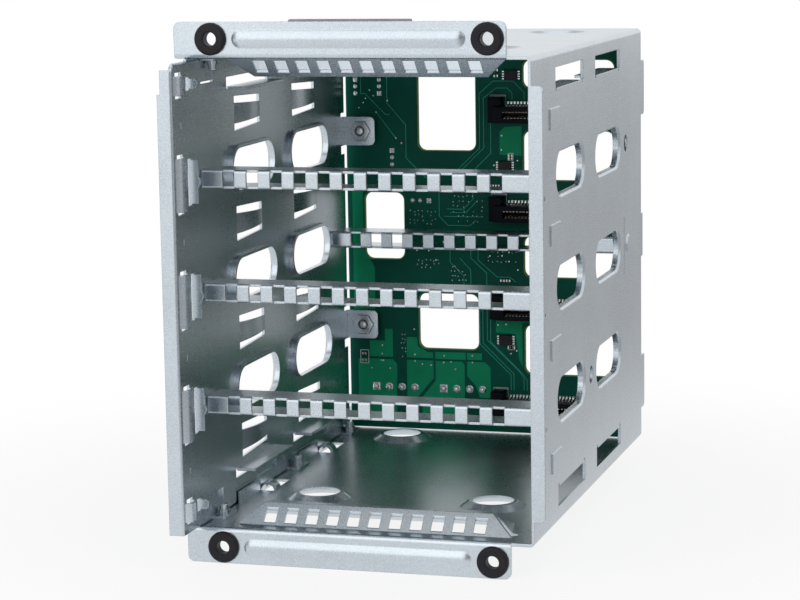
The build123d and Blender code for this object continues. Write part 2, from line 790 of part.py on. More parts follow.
def make_power_header(place):
    """Four-pin power header on the back of the board, open to the rear."""
    y_back = y_board + board_thickness
    level = z_floor + power_level
    with BuildPart() as header:
        with BuildSketch(facing(y_back)) as outside:
            with Locations((place, level)):
                Rectangle(power_width, power_height)
            chamfer(outside.vertices().group_by(Axis.Y)[-1], 2.0)
        extrude(amount=-power_reach)
        with BuildSketch(facing(y_back + power_wall)) as inside:
            with Locations((place, level)):
                Rectangle(power_width - 2 * power_wall, power_height - 2 * power_wall)
            chamfer(inside.vertices().group_by(Axis.Y)[-1], 1.4)
        extrude(amount=-power_reach, mode=Mode.SUBTRACT)
        with BuildSketch(facing(y_back)):
            with Locations((place, level)):
                with GridLocations(power_pitch, 1, 4, 1):
                    Circle(pin_radius + pin_gap)
        extrude(amount=-power_wall, mode=Mode.SUBTRACT)
    return header


def make_power_pins():
    """Pins of the power headers; their ends show on the face of the board."""
    with BuildPart() as pins:
        with BuildSketch(facing(y_board - pin_show)):
            for place in power_places:
                with Locations((place, z_floor + power_level)):
                    with GridLocations(power_pitch, 1, 4, 1):
                        Circle(pin_radius)
        extrude(amount=-(pin_show + board_thickness + power_reach * 0.8))
    return pins


def make_signal_headers():
    """Three-pin headers on the back of the board."""
    with BuildPart() as headers:
        with BuildSketch(facing(y_board + board_thickness)):
            with Locations(*[(x, z_floor + z) for x, z in header_places]):
                Rectangle(header_pitch, 3 * header_pitch)
        extrude(amount=-header_pitch)
        with BuildSketch(facing(y_board + board_thickness + header_pitch)):
            for x, z in header_places:
                with Locations((x, z_floor + z)):
                    with GridLocations(1, header_pitch, 1, 3):
                        Rectangle(0.64, 0.64)
        extrude(amount=-2 * header_pitch)
    return headers


def make_board_chips():
    """Small moulded chips on the face of the board."""
    with BuildPart() as chips:
        with BuildSketch(facing(y_board)):
            with Locations(*[(x, z_floor + z) for x, z in chip_places]):
                Rectangle(chip_width, chip_height)
        extrude(amount=chip_thickness, taper=6)
    return chips


def make_clinch_nuts():
    """Hexagon nuts pressed into the screw tabs; they space the board off."""
    y_tab = y_panel_end + sheet
    with BuildPart() as nuts:
        with BuildSketch(facing(y_tab)):
            with Locations(*screw_points):
                RegularPolygon(nut_across / 2, 6, major_radius=False)
        extrude(amount=sheet + nut_proud)
        with BuildSketch(facing(y_tab)):
            with Locations(*screw_points):
                Circle(nut_shank)
        extrude(amount=-(y_board - y_tab))
        with BuildSketch(facing(y_panel_end - 1)):
            with Locations(*screw_points):
                Circle(screw_radius + screw_gap)
        extrude(amount=-(y_board - y_panel_end + 2), mode=Mode.SUBTRACT)
    return nuts


def make_board_screws():
    """Pan-head screws from the back of the board into the nuts."""
    y_back = y_board + board_thickness
    with BuildPart() as screws:
        with BuildSketch(facing(y_back)):
            with Locations(*screw_points):
                Circle(screw_head_radius)
        extrude(amount=-screw_head_height)
        fillet(
            screws.edges().filter_by_position(
                Axis.Y, y_back + screw_head_height - 0.01, y_back + screw_head_height + 0.01
            ),
            screw_head_height * 0.4,
        )
        with BuildSketch(facing(y_back)):
            with Locations(*screw_points):
                Circle(screw_radius)
        extrude(amount=y_back - y_panel_end)
        with BuildSketch(facing(y_back + screw_head_height)):
            for point in screw_points:
                with Locations(point):
                    Rectangle(3.2, 0.8)
                    Rectangle(0.8, 3.2)
        extrude(amount=screw_head_height * 0.5, mode=Mode.SUBTRACT)
    return screws


def make_panel_rivets():
    """Rivets that hold the feet of the left panel to the floor and to the top."""
    places = [(foot_x, y_face + y) for y in foot_places]
    with BuildPart() as rivets:
        for end in (1, -1):
            outside = z_mid + end * shell_height / 2
            with BuildSketch(Plane.XY.offset(outside)):
                with Locations(*places):
                    Circle(rivet_radius)
            extrude(amount=-end * (2 * sheet + rivet_height))
            with BuildSketch(Plane.XY.offset(outside - end * 2 * sheet)):
                with Locations(*places):
                    Circle(rivet_radius + 0.4)
            extrude(amount=-end * rivet_height * 0.4)
        tips = rivets.faces().filter_by(Axis.Z).sort_by(lambda face: abs(face.center().Z - z_mid))
        fillet(tips[: 2 * len(places)].edges(), rivet_radius * 0.3)
    return rivets


def make_grommet(x, z):
    """Rubber grommet seated in one hole of a front flange."""
    front = y_face - grommet_lip
    back = y_face + sheet + grommet_lip
    with BuildPart() as grommet:
        with BuildSketch(Plane.YZ.offset(x)) as section:
            with BuildLine():
                Polyline(
                    (front, z + grommet_bore),
                    (front, z + grommet_radius),
                    (y_face, z + grommet_radius),
                    (y_face, z + grommet_neck),
                    (y_face + sheet, z + grommet_neck),
                    (y_face + sheet, z + grommet_back),
                    (back, z + grommet_back),
                    (back, z + grommet_bore),
                    close=True,
                )
            make_face()
            rims = section.vertices().filter_by(
                lambda v: v.Y > z + grommet_neck
                and (v.X < front + 0.01 or v.X > back - 0.01)
            )
            fillet(rims, grommet_lip * 0.5)
        revolve(axis=Axis((x, 0, z), (0, 1, 0)))
    return grommet


def make_edge_strip():
    """Thin strip on the back of the top flange, showing over its edge."""
    high = z_top + flange_reach + strip_show
    with BuildPart() as strip:
        with BuildSketch(facing(y_face + sheet)):
            with Locations((strip_left + strip_length / 2, high - strip_height / 2)):
                RectangleRounded(strip_length, strip_height, 0.5)
        extrude(amount=-strip_thickness)
    return strip


pieces = {
    "main_shell": make_main_shell(),
    "left_side_panel": make_left_side_panel(),
    "rear_crossbar": crossbar(y_rear_bar, bar_levels[rear_bar_level], True),
    "backplane_board": make_backplane_board(),
    "power_pins": make_power_pins(),
    "signal_headers": make_signal_headers(),
    "board_chips": make_board_chips(),
    "clinch_nuts": make_clinch_nuts(),
    "board_screws": make_board_screws(),
    "panel_rivets": make_panel_rivets(),
    "edge_strip": make_edge_strip(),
}
for number, level in enumerate(bar_levels, 1):
    pieces[f"front_crossbar_{number}"] = crossbar(y_bar, level, False)
for number, level in enumerate(reversed(bay_levels), 1):
    pieces[f"drive_connector_{number}"] = make_drive_connector(level)
for number, place in enumerate(power_places, 1):
    pieces[f"power_header_{number}"] = make_power_header(place)
corners = ("top_left", "top_right", "bottom_left", "bottom_right")
for corner, (x, z) in zip(corners, grommet_points):
    pieces[f"grommet_{corner}"] = make_grommet(x, z)

os.makedirs("parts", exist_ok=True)
for name, piece in pieces.items():
    piece.part.label = name
    export_step(piece.part, f"parts/{name}.step")
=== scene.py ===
"""Looks of an open drive cage: zinc-coated sheet, a green backplane and its small parts.

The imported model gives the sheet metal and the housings. This script dresses them and adds
what the eye sees close up: contacts, solder, copper areas, traces, printed outlines, leads
and small passive parts. Metres throughout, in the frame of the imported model.
"""
import logging
import math
from collections.abc import Callable
from dataclasses import dataclass
from enum import Enum

import bpy
import numpy as np
from mathutils import Matrix, Vector


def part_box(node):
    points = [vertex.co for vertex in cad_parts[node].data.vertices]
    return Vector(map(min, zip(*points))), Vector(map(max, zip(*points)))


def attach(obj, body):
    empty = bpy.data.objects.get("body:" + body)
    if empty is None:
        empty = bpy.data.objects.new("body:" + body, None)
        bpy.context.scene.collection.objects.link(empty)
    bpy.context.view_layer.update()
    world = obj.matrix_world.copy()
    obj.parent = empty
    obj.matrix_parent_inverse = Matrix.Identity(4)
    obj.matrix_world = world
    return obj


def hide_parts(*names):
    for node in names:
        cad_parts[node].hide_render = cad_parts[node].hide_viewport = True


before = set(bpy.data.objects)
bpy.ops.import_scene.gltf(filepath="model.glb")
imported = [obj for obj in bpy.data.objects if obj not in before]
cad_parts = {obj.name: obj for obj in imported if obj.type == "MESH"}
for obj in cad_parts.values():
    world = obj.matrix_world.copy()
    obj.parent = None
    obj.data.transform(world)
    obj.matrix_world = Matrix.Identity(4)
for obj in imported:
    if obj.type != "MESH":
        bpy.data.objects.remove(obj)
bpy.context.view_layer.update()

MM = 0.001
Y_FACE = -82.5 * MM                       # front face of the flanges
Y_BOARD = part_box("backplane_board")[0].y  # front face of the board
BOARD_THICKNESS = 1.6 * MM
CONNECTORS = [f"drive_connector_{number}" for number in range(1, 5)]
POWER_HEADERS = ["power_header_1", "power_header_2"]
CLOUDING = (0.3, 0.7)                     # values of a noise where clouds begin and are full

Point = tuple[float, float]
Triple = tuple[float, float, float]
Colour = Triple
Path = list[Point] | tuple[Point, ...] | np.ndarray
Mesh = tuple[np.ndarray, list]
Material = bpy.types.Material
Materials = dict[str, Material]

log = logging.getLogger("drive_cage")


class Face(Enum):
    """Face of the board: its sign points away from the laminate along Y."""

    FRONT = -1
    BACK = 1

    def level(self, rise: float) -> float:
        """Y of a layer that stands proud of this face.

        Args:
            rise: height of the layer in metres, negative inside the laminate.

        Returns:
            Its place along Y.
        """
        base = Y_BOARD if self is Face.FRONT else Y_BOARD + BOARD_THICKNESS
        return base + self.value * rise

    def layer(self, top: float, foot: float = 0.0) -> list[float]:
        """Y of the front and the back of a layer that goes from foot to top over this face."""
        return sorted((self.level(foot), self.level(top)))


# Shader graphs


def math_node(operation: str, reflected: bool = False) -> Callable[..., "Value"]:
    """Make an operator of Value that adds one Math node.

    Args:
        operation: name of the node's operation.
        reflected: whether the value is the last operand.

    Returns:
        The operator.
    """
    def method(value: "Value", *others: "Value | float") -> "Value":
        """Add the node."""
        operands = (*others, value) if reflected else (value, *others)
        return value.graph.add("Math", dict(enumerate(operands)), operation=operation)
    return method


class Value:
    """A shader socket on which Python's operators add Math nodes.

    The greater of two is a | b, for values from 0 to 1 that say where something holds.
    """

    __add__ = __radd__ = math_node("ADD")
    __sub__ = math_node("SUBTRACT")
    __rsub__ = math_node("SUBTRACT", reflected=True)
    __mul__ = __rmul__ = math_node("MULTIPLY")
    __or__ = math_node("MAXIMUM")
    __abs__ = math_node("ABSOLUTE")

    def __init__(self, graph: "Graph", socket: bpy.types.NodeSocket) -> None:
        """Keep the graph and the socket."""
        self.graph = graph
        self.socket = socket

    def between(self, low: float, high: float) -> "Value":
        """Smooth step: 0 below low, 1 above high."""
        inputs = {"Value": self, "From Min": low, "From Max": high}
        return self.graph.add("MapRange", inputs, "Result", interpolation_type="SMOOTHSTEP")


class Graph:
    """Node tree of a material or of the world."""

    def __init__(self, owner: Material | bpy.types.World) -> None:
        """Empty the owner's tree.

        Args:
            owner: the material or the world.
        """
        self.owner = owner
        owner.use_nodes = True
        self.tree = owner.node_tree
        self.tree.nodes.clear()
        self.coordinates = self.node("TexCoord", {})
        self.place = Value(self, self.coordinates.outputs["Object"])

    def node(self, kind: str, inputs: dict, **settings: str | int) -> bpy.types.Node:
        """Add one node.

        Args:
            kind: the node's type, without the ShaderNode in front.
            inputs: values or links of its sockets, by name or number.
            settings: attributes set first, such as an operation.

        Returns:
            The node.
        """
        made = self.tree.nodes.new(f"ShaderNode{kind}")
        for name, setting in settings.items():
            setattr(made, name, setting)
        for name, given in inputs.items():
            socket = made.inputs[name]
            if isinstance(given, Value):
                self.tree.links.new(given.socket, socket)
            elif socket.type == "RGBA":
                socket.default_value = (*given, 1.0)
            else:
                socket.default_value = given
        return made

    def add(self, kind: str, inputs: dict, output: str | int = 0, **settings: str | int) -> Value:
        """Add one node and take one of its outputs, by name or number."""
        return Value(self, self.node(kind, inputs, **settings).outputs[output])

    def axis(self, letter: str, source: Value | None = None) -> Value:
        """One coordinate of a vector.

        Args:
            letter: X, Y or Z.
            source: the vector, or the object's coordinates.

        Returns:
            That coordinate.
        """
        return self.add("SeparateXYZ", {0: source or self.place}, letter)

    def noise(self, scale: float | Triple, detail: float = 2.0, rough: float = 0.5) -> Value:
        """Noise of the object's coordinates.

        Args:
            scale: features to the metre, one number or one for each axis.
            detail: octaves.
            rough: strength of the finer octaves.

        Returns:
            Noise about 0.5.
        """
        place = self.place
        if isinstance(scale, tuple):
            place = self.add("VectorMath", {0: place, 1: scale}, operation="MULTIPLY")
            scale = 1.0
        inputs = {"Vector": place, "Scale": scale, "Detail": detail, "Roughness": rough}
        return self.add("TexNoise", inputs, "Fac")

    def cells(self, scale: float) -> Value:
        """Random grey of Voronoi cells, as zinc crystals have.

        Args:
            scale: cells to the metre.

        Returns:
            A grey from 0 to 1, one for each cell.
        """
        cell = self.add("TexVoronoi", {"Vector": self.place, "Scale": scale}, "Color")
        return self.add("SeparateColor", {0: cell})

    def blend(self, first: "Colour | Value", second: "Colour | Value",
              factor: "Value | float") -> Value:
        """Mix two colours.

        Args:
            first: colour where the factor is 0.
            second: colour where the factor is 1.
            factor: how much of the second.

        Returns:
            The mixed colour.
        """
        return self.add("Mix", {0: factor, 6: first, 7: second}, 2, data_type="RGBA")

    def bump(self, height: Value, strength: float, distance: float,
             normal: Value | None = None) -> Value:
        """Turn a height into a normal.

        Args:
            height: height from 0 to 1.
            strength: how strongly it shows.
            distance: metres from 0 to 1.
            normal: the normal that it starts from.

        Returns:
            The bumped normal.
        """
        inputs = {"Strength": strength, "Distance": distance, "Height": height}
        if normal:
            inputs["Normal"] = normal
        return self.add("Bump", inputs)

    def soft_edges(self, radius: float) -> Value:
        """Normal that rounds the edges of a mesh by a radius in metres."""
        return self.add("Bevel", {"Radius": radius}, samples=4)

    def unlit_rays(self) -> tuple[Value, Value, Value]:
        """Which rays only look at a surface and don't light others.

        Returns:
            1 for camera rays, 1 for mirror rays, and 1 for these and rays through glass.
        """
        rays = self.node("LightPath", {})
        camera, mirror, glass = (
            Value(self, rays.outputs[f"Is {kind} Ray"])
            for kind in ("Camera", "Glossy", "Transmission")
        )
        return camera, mirror, camera | mirror | glass

    def close(self, kind: str, result: Value) -> None:
        """End the tree with an output node of this kind."""
        self.node(kind, {"Surface": result})

    def finish(self, **sockets: "Value | float | Colour") -> Material:
        """Close the material with a Principled shader.

        Args:
            sockets: its sockets, with _ for each space.

        Returns:
            The material.
        """
        inputs = {name.replace("_", " "): given for name, given in sockets.items()}
        self.close("OutputMaterial", self.add("BsdfPrincipled", inputs))
        return self.owner


def new_graph(name: str) -> Graph:
    """Graph of a new material."""
    return Graph(bpy.data.materials.new(name))


# Finishes


@dataclass(frozen=True)
class ZincSteel:
    """Smooth zinc-coated sheet with a fine grain and faint clouding."""

    name: str = "zinc_sheet"
    light: Colour = (0.645, 0.705, 0.752)
    dark: Colour = (0.512, 0.569, 0.617)
    grains: float = 3400.0
    mottle: float = 30.0
    rolling: Triple = (2200.0, 60.0, 2200.0)
    shares: Triple = (0.28, 0.45, 0.27)       # of grains, mottle and rolling in the colour
    contrast: Point = (0.25, 0.75)
    roughness: float = 0.27
    rough_mottle: float = 0.06
    rough_grains: float = 0.04
    relief: float = 0.05
    relief_depth: float = 0.02 * MM
    edge_radius: float = 0.4 * MM

    def material(self) -> Material:
        """Build the material: grain and clouding shift colour and roughness.

        Returns:
            The material.
        """
        graph = new_graph(self.name)
        grain = graph.cells(self.grains)
        broad = graph.noise(self.mottle, 4.0, 0.6)
        rolled = graph.noise(self.rolling, 2.0, 0.6)
        fine, wide, long = self.shares
        shade = grain * fine + broad * wide + rolled * long
        rough = self.roughness + self.rough_mottle * (broad - 0.5) + self.rough_grains * grain
        soft = graph.soft_edges(self.edge_radius)
        return graph.finish(
            Base_Color=graph.blend(self.dark, self.light, shade.between(*self.contrast)),
            Metallic=1.0, Roughness=rough,
            Normal=graph.bump(rolled, self.relief, self.relief_depth, soft),
        )


@dataclass(frozen=True)
class SolderMask:
    """Green lacquer over the laminate; its cut edges show bare glass cloth."""

    name: str = "solder_mask"
    colour: Colour = (0.002, 0.116, 0.076)
    shade: Colour = (0.0015, 0.088, 0.058)
    laminate: Colour = (0.20, 0.30, 0.09)
    roughness: float = 0.45
    gloss: float = 0.10
    cut_edges: bool = True
    clouds: float = 35.0
    warp: Triple = (2600.0, 10.0, 300.0)
    weft: Triple = (300.0, 10.0, 2600.0)
    relief: float = 0.10
    relief_depth: float = 0.03 * MM
    patches: float = 250.0
    rough_patches: float = 0.08
    rough_cut: float = 0.3
    facing: Point = (0.4, 0.6)                # along Y, of a cut edge and of a face

    def material(self) -> Material:
        """Build the material: broad clouding, woven bump and yellow cut edges.

        Returns:
            The material.
        """
        graph = new_graph(self.name)
        cloud = graph.noise(self.clouds, 3.0, 0.6).between(*CLOUDING)
        colour = graph.blend(self.shade, self.colour, cloud)
        weave = graph.noise(self.warp, 1.0) + graph.noise(self.weft, 1.0)
        rough = self.roughness + self.rough_patches * graph.noise(self.patches)
        if self.cut_edges:
            facing = abs(graph.axis("Y", Value(graph, graph.coordinates.outputs["Normal"])))
            cut = 1.0 - facing.between(*self.facing)
            colour = graph.blend(colour, self.laminate, cut)
            rough = rough + self.rough_cut * cut
        return graph.finish(
            Base_Color=colour, Roughness=rough, Specular_IOR_Level=self.gloss,
            Normal=graph.bump(weave, self.relief, self.relief_depth),
        )


@dataclass(frozen=True)
class Moulding:
    """Moulded plastic, ceramic, ink or bare laminate with a fine grain."""

    name: str
    colour: Colour
    roughness: float = 0.45
    grain: float = 1500.0
    grain_depth: float = 0.02 * MM
    fade: float = 0.25
    gloss: float = 0.3
    clouds: float = 120.0
    rough_grain: float = 0.12
    relief: float = 0.25
    lift: float = 0.003                       # so that black fades too

    def material(self) -> Material:
        """Build the material: grain in the bump, slight fading in the colour.

        Returns:
            The material.
        """
        graph = new_graph(self.name)
        fine = graph.noise(self.grain, 3.0, 0.6)
        broad = graph.noise(self.clouds).between(*CLOUDING)
        faded = tuple(min(1.0, part * (1 + self.fade) + self.lift) for part in self.colour)
        return graph.finish(
            Base_Color=graph.blend(self.colour, faded, broad),
            Roughness=self.roughness + self.rough_grain * (fine - 0.5),
            Specular_IOR_Level=self.gloss,
            Normal=graph.bump(fine, self.relief, self.grain_depth),
        )


@dataclass(frozen=True)
class Plated:
    """Small metal parts: tin, zinc, gold, or a dark metal that paints the shade in a nut's bore.
    """

    name: str
    colour: Colour
    roughness: float = 0.25
    edge_radius: float = 0.0
    clouds: float = 700.0
    dulling: float = 0.88
    rough_clouds: float = 0.1
    pits: float = 2500.0
    relief: float = 0.06
    relief_depth: float = 0.01 * MM

    def material(self) -> Material:
        """Build the material: fine pitting and cloudy roughness.

        Returns:
            The material.
        """
        graph = new_graph(self.name)
        cloud = graph.noise(self.clouds, 3.0, 0.6)
        dull = tuple(part * self.dulling for part in self.colour)
        start = graph.soft_edges(self.edge_radius) if self.edge_radius else None
        return graph.finish(
            Base_Color=graph.blend(dull, self.colour, cloud.between(*CLOUDING)),
            Metallic=1.0, Roughness=self.roughness + self.rough_clouds * (cloud - 0.5),
            Normal=graph.bump(graph.noise(self.pits), self.relief, self.relief_depth, start),
        )


FINISHES = {
    "sheet": ZincSteel(),
    "mask": SolderMask(),
    "pour": SolderMask(
        "copper_under_mask", (0.010, 0.360, 0.170), (0.008, 0.290, 0.136), cut_edges=False
    ),
    "trace": SolderMask(
        "trace_under_mask", (0.080, 0.54, 0.38), (0.060, 0.44, 0.30), cut_edges=False
    ),
    "housing": Moulding("connector_housing", (0.004, 0.005, 0.009), 0.38, gloss=0.06),
    "chip": Moulding("chip_body", (0.010, 0.010, 0.012), 0.5),
    "nylon": Moulding("natural_nylon", (0.74, 0.71, 0.60), 0.42, 900.0),
    "rubber": Moulding("black_rubber", (0.006, 0.006, 0.010), 0.5, 1100.0, 0.03 * MM),
    "strip": Moulding("grey_strip", (0.30, 0.27, 0.27), 0.6, 800.0),
    "ceramic": Moulding("brown_ceramic", (0.22, 0.14, 0.09), 0.4),
    "ink": Moulding("white_ink", (0.78, 0.80, 0.78), 0.55, 1500.0, 0.01 * MM, 0.05),
    "bare": Moulding("bare_laminate", (0.10, 0.24, 0.06), 0.5),
    "tin": Plated("tin", (0.72, 0.73, 0.72), 0.24),
    "gold": Plated("gold_flash", (0.86, 0.80, 0.66), 0.45),
    "zinc": Plated("zinc_fastener", (0.56, 0.60, 0.63), 0.2, 0.15 * MM),
    # painted shade: dark metal for the ring that stands for the shade in each nut's bore
    "dark": Plated("painted_bore_shade", (0.10, 0.11, 0.12), 0.35),
}


# Meshes


def in_metres(points: Path) -> np.ndarray:
    """Millimetres to metres."""
    return np.array(points, float) * MM


def at_depth(flat: np.ndarray, y: float) -> np.ndarray:
    """Points in X and Z, set at one Y."""
    return np.insert(flat, 1, y, axis=1)


def on_board(places: Path, rise: float = 0.0, face: Face = Face.FRONT) -> np.ndarray:
    """Places in millimetres on the board, as points in space.

    Args:
        places: their X and Z.
        rise: height over the face in metres.
        face: front or back.

    Returns:
        The points in metres.
    """
    return at_depth(in_metres(places), face.level(rise))


def rectangle(x0: float, z0: float, x1: float, z1: float) -> list[Point]:
    """Corners of a rectangle, the first one again at the end."""
    return [(x0, z0), (x1, z0), (x1, z1), (x0, z1), (x0, z0)]


def tube(rings: int, around: int) -> np.ndarray:
    """Faces between closed rings of equally many vertices.

    Args:
        rings: number of rings.
        around: vertices on each.

    Returns:
        Four vertex numbers for each face.
    """
    step = np.arange(around)
    after = (step + 1) % around
    start = np.arange(rings - 1)[:, None] * around
    quads = [start + step, start + after, start + around + after, start + around + step]
    return np.stack(quads, -1).reshape(-1, 4)


def repeated(shape: np.ndarray, quads: np.ndarray, centres: np.ndarray) -> Mesh:
    """The same shape at each centre.

    Args:
        shape: its vertices.
        quads: its faces.
        centres: an array of centres.

    Returns:
        One mesh with all copies.
    """
    centres = np.atleast_2d(np.asarray(centres, float))
    points = (centres[:, None, :] + shape[None]).reshape(-1, 3)
    every = quads[None] + len(shape) * np.arange(len(centres))[:, None, None]
    return points, every.reshape(-1, 4).tolist()


def joined(parts: list[Mesh]) -> Mesh:
    """Put several meshes into one, shifting the face numbers of each.

    Args:
        parts: vertices and faces of each.

    Returns:
        One mesh.
    """
    vertices, faces, shift = [], [], 0
    for points, polygons in parts:
        vertices.append(points)
        faces.extend((np.asarray(polygon) + shift).tolist() for polygon in polygons)
        shift += len(points)
    return np.concatenate(vertices), faces


def boxes(centres: np.ndarray, size: Triple) -> Mesh:
    """Equal boxes: eight corners are half the size away from each centre, by sign.

    Args:
        centres: an array of centres.
        size: lengths along X, Y and Z.

    Returns:
        One mesh with all boxes.
    """
    signs = np.array([(x, y, z) for z in (-1, 1) for y in (-1, 1) for x in (-1, 1)], float)
    quads = np.array(
        [(0, 2, 3, 1), (4, 5, 7, 6), (0, 1, 5, 4), (2, 6, 7, 3), (0, 4, 6, 2), (1, 3, 7, 5)]
    )
    return repeated(signs * np.array(size) / 2, quads, centres)


def turned(profile: Path, centres: np.ndarray, segments: int) -> Mesh:
    """Turned bodies on axes along Y: (r cos t, depth, r sin t) about each centre.

    Args:
        profile: radius and depth of each ring; a ring of no radius closes an end.
        centres: an array of centres.
        segments: steps round the axis.

    Returns:
        One mesh with all bodies.
    """
    rings = np.array(profile, float)
    turn = np.linspace(0, 2 * math.pi, segments, endpoint=False)
    radius, depth = rings[:, :1], np.repeat(rings[:, 1:], segments, 1)
    shape = np.stack([radius * np.cos(turn), depth, radius * np.sin(turn)], -1)
    return repeated(shape.reshape(-1, 3), tube(len(rings), segments), centres)


def slab(outline: Path, layer: list[float]) -> Mesh:
    """Plate of constant thickness: an outline in X and Z, carried along Y.

    Args:
        outline: its corners in order.
        layer: its front and back.

    Returns:
        The mesh.
    """
    flat = np.array(outline, float)
    count = len(flat)
    layers = [at_depth(flat, y) for y in layer]
    step = np.arange(count)
    after = (step + 1) % count
    area = np.sum(flat[:, 0] * flat[after, 1] - flat[after, 0] * flat[:, 1])
    walls = np.stack([step, step + count, after + count, after], -1)
    lids = [step, (step + count)[::-1]]
    if area < 0:
        walls = walls[:, ::-1]
        lids = [lid[::-1] for lid in lids]
    return np.concatenate(layers), walls.tolist() + [lid.tolist() for lid in lids]


def ribbon(path: Path, width: float, layer: list[float]) -> Mesh:
    """Flat strip along a path in X and Z: each point moves half a width sideways.

    At a bend it moves farther, to the mitre, but at most a whole width.

    Args:
        path: its points.
        width: its width.
        layer: its front and back.

    Returns:
        The mesh.
    """
    line = np.array(path, float)
    steps = np.diff(line, axis=0)
    steps /= np.linalg.norm(steps, axis=1, keepdims=True)
    before = np.vstack([steps[:1], steps])
    after = np.vstack([steps, steps[-1:]])
    along = before + after
    along /= np.linalg.norm(along, axis=1, keepdims=True)
    aside = np.stack([-along[:, 1], along[:, 0]], -1)
    reach = width / 2 / np.maximum(np.sum(along * after, 1, keepdims=True), 0.5)
    outline = np.vstack([line + aside * reach, (line - aside * reach)[::-1]])
    return slab(outline, layer)


def drawn(corners: Path, width: float, layer: list[float]) -> list[Mesh]:
    """Straight strips of this width from each corner to the next."""
    return [ribbon([start, end], width, layer) for start, end in zip(corners, corners[1:])]


def swept(path: np.ndarray, wide: float, thick: float, shifts: np.ndarray) -> Mesh:
    """Flat wire bent in the Y-Z plane: each path point is thickened along its normal.

    Args:
        path: its points in Y and Z.
        wide: width along X.
        thick: thickness in the plane.
        shifts: where each copy goes.

    Returns:
        One mesh with all copies.
    """
    steps = np.gradient(path, axis=0)
    steps /= np.linalg.norm(steps, axis=1, keepdims=True)
    normal = np.stack([-steps[:, 1], steps[:, 0]], -1) * thick / 2
    corners = ((-wide / 2, -1), (-wide / 2, 1), (wide / 2, 1), (wide / 2, -1))
    rows = [
        np.column_stack([np.full(len(path), x), path + sign * normal]) for x, sign in corners
    ]
    shape = np.stack(rows, 1).reshape(-1, 3)
    last = (len(path) - 1) * 4
    ends = [[3, 2, 1, 0], [last, last + 1, last + 2, last + 3]]
    return repeated(shape, np.vstack([tube(len(path), 4), ends]), shifts)


def linked(name: str, data: bpy.types.ID) -> bpy.types.Object:
    """New object in the scene.

    Args:
        name: its name.
        data: its mesh, lamp or camera.

    Returns:
        The object.
    """
    made = bpy.data.objects.new(name, data)
    bpy.context.scene.collection.objects.link(made)
    return made


# The cage


@dataclass
class Section:
    """A sub-assembly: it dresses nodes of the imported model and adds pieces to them."""

    finishes: Materials

    def dress(self, node: str, finish: str) -> None:
        """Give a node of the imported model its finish.

        Args:
            node: name of the node.
            finish: name of the finish.
        """
        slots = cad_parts[node].data.materials
        if not slots:
            slots.append(self.finishes[finish])
        for number in range(len(slots)):
            slots[number] = self.finishes[finish]
        log.info("%s: dressed", node)

    def add(self, name: str, mesh: Mesh, finish: str, slot: str,
            smooth: float = 30.0) -> bpy.types.Object:
        """Make one piece of the cage and let it ride with it.

        Args:
            name: name of the piece.
            mesh: its vertices and faces.
            finish: name of its finish.
            slot: not used.
            smooth: angle in degrees below which edges are smooth.

        Returns:
            The piece.
        """
        points, faces = mesh
        data = bpy.data.meshes.new(name)
        data.from_pydata(points.tolist(), [], faces)
        data.validate()
        data.shade_smooth()
        data.set_sharp_from_angle(angle=math.radians(smooth))
        data.materials.append(self.finishes[finish])
        piece = linked(name, data)
        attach(piece, "root")
        log.info("%s: %d faces", name, len(faces))
        return piece


@dataclass
class SheetMetal(Section):
    """Folded shell, side panel, crossbars and what fastens them."""

    sheets: tuple[str, ...] = (
        "main_shell", "left_side_panel", "front_crossbar_1", "front_crossbar_2",
        "front_crossbar_3", "rear_crossbar",
    )
    fasteners: tuple[str, ...] = ("clinch_nuts", "board_screws", "panel_rivets")
    nut_across: float = 7.0 * MM
    segments: int = 36
    # radius and depth from the nut's face, in millimetres; the bore ring is dark, as painted shade
    # of a chamfered bore
    bore_shade_ring: tuple[Point, ...] = ((1.95, 0.0), (1.9, -0.05), (1.45, -0.02), (1.42, 0.3))
    screw_tip: tuple[Point, ...] = (
        (1.25, 0.3), (1.25, -0.10), (1.05, -0.28), (0.6, -0.36), (0.0, -0.38),
    )

    def build(self) -> None:
        """Dress the nodes."""
        for node in self.sheets:
            self.dress(node, "sheet")
        for node in self.fasteners:
            self.dress(node, "zinc")
        self.dress("edge_strip", "strip")
        self.screw_tips()

    def screw_tips(self) -> None:
        """Dark ring of painted shade where the bore's chamfer would be, and a rounded screw tip,
        in the face of each clinch nut.
        """
        low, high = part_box("clinch_nuts")
        x = (low.x + high.x) / 2
        reach = self.nut_across / 2
        centres = np.array([(x, low.y, z) for z in (low.z + reach, high.z - reach)])
        # the bore ring's dark finish is painted shade of the bore round the screw tip
        for name, profile, finish in (
            ("nut_bore_painted_shade", self.bore_shade_ring, "dark"), ("screw_tips", self.screw_tip, "tin"),
        ):
            mesh = turned(in_metres(profile), centres, self.segments)
            self.add(name, mesh, finish, "fastener_steel")


